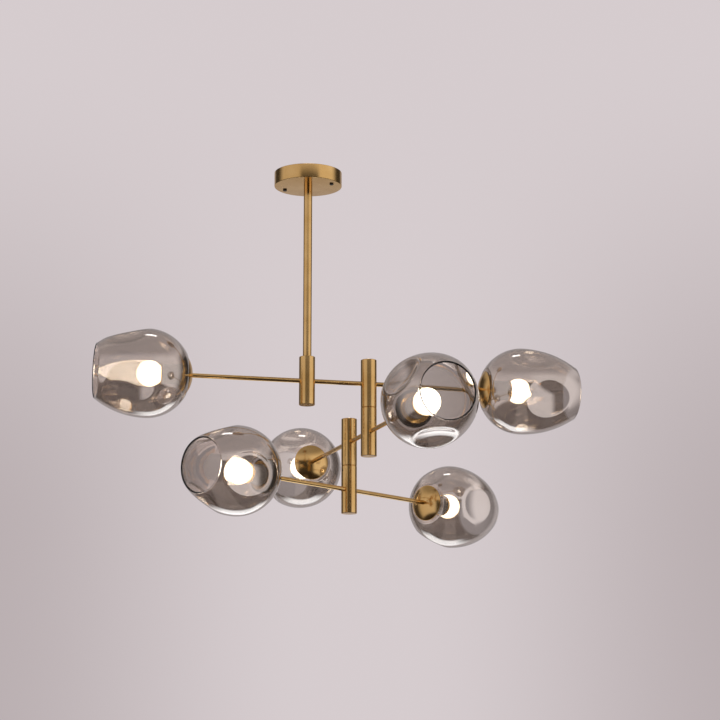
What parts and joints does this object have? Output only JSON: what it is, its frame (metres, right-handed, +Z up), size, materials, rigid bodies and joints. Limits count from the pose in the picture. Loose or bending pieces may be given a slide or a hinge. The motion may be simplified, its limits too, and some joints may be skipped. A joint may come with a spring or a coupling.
{
  "type": "branch chandelier",
  "caption": "Branching ceiling chandelier: a round canopy and down rod carry stacked swivelling brass arms, each ending in dimpled, open-mouthed smoked glass shades with round bulbs.",
  "frame": {"origin": "the middle of the canopy in the ceiling plane, where the ceiling bar meets the ceiling", "axes": "+Z is up, out of the fitting into the ceiling; +X runs to the right along the ceiling slots and +Y to the back, seen from the front"},
  "size_m": [0.8559, 0.8795, 0.6271],
  "materials": {
    "brass": "satin, lightly polished, unlacquered look",
    "satin_steel": "zinc plated, satin",
    "dark_steel": "blackened",
    "smoke_glass": "smoked, semi-mirrored, clear and glossy",
    "white_ceramic": "glazed ceramic, satin gloss",
    "white_plastic": "moulded, matte",
    "opal_glass": "opal, glowing warm white",
    "black_rubber": "matte"
  },
  "bodies": {
    "ceiling_mount": {"ceiling_bar": "satin_steel", "canopy_bar": "satin_steel", "bar_rivet": "satin_steel", "earth_screw": "brass", "terminal_block": "white_plastic", "canopy": "brass", "canopy_screws": "dark_steel", "down_rod": "brass", "down_rod_nuts": "satin_steel"},
    "arm_1": {"hub_1": "brass", "link_rod_1": "brass", "hub_2_upper": "brass", "hub_2_swivel_bolt": "satin_steel", "arm_1_hub_plugs": "brass", "hub_1_locking_screw": "dark_steel", "arm_1_left_rod": "brass", "arm_1_left_cup": "brass", "arm_1_left_holder": "white_ceramic", "arm_1_left_shade": "smoke_glass", "arm_1_left_bulb": "opal_glass", "arm_1_right_rod": "brass", "arm_1_right_cup": "brass", "arm_1_right_holder": "white_ceramic", "arm_1_right_shade": "smoke_glass", "arm_1_right_bulb": "opal_glass", "arm_1_gaskets": "black_rubber", "arm_1_shade_rings": "brass"},
    "arm_2": {"hub_2_lower": "brass", "link_rod_2": "brass", "hub_3_upper": "brass", "hub_3_swivel_bolt": "satin_steel", "arm_2_hub_plugs": "brass", "hub_2_locking_screw": "dark_steel", "arm_2_front_rod": "brass", "arm_2_front_cup": "brass", "arm_2_front_holder": "white_ceramic", "arm_2_front_shade": "smoke_glass", "arm_2_front_bulb": "opal_glass", "arm_2_back_rod": "brass", "arm_2_back_cup": "brass", "arm_2_back_holder": "white_ceramic", "arm_2_back_shade": "smoke_glass", "arm_2_back_bulb": "opal_glass", "arm_2_gaskets": "black_rubber", "arm_2_shade_rings": "brass"},
    "arm_3": {"hub_3_lower": "brass", "arm_3_hub_plug": "brass", "hub_3_locking_screw": "dark_steel", "arm_3_left_rod": "brass", "arm_3_left_cup": "brass", "arm_3_left_holder": "white_ceramic", "arm_3_left_shade": "smoke_glass", "arm_3_left_bulb": "opal_glass", "arm_3_right_rod": "brass", "arm_3_right_cup": "brass", "arm_3_right_holder": "white_ceramic", "arm_3_right_shade": "smoke_glass", "arm_3_right_bulb": "opal_glass", "arm_3_gaskets": "black_rubber", "arm_3_shade_rings": "brass"}
  },
  "joints": [
    {"name": "arm_1_swivel", "type": "hinge", "parent": "ceiling_mount", "child": "arm_1", "pos_m": [0, 0, -0.335], "axis": [0, 0, 1], "range_deg": [-170, 170]},
    {"name": "arm_2_swivel", "type": "hinge", "parent": "arm_1", "child": "arm_2", "pos_m": [0.1078, 0.02648, -0.421], "axis": [0, 0, 1], "range_deg": [-70, 50]},
    {"name": "arm_3_swivel", "type": "hinge", "parent": "arm_2", "child": "arm_3", "pos_m": [0.07294, 0.13186, -0.507], "axis": [0, 0, 1], "range_deg": [-85, 25]}
  ]
}
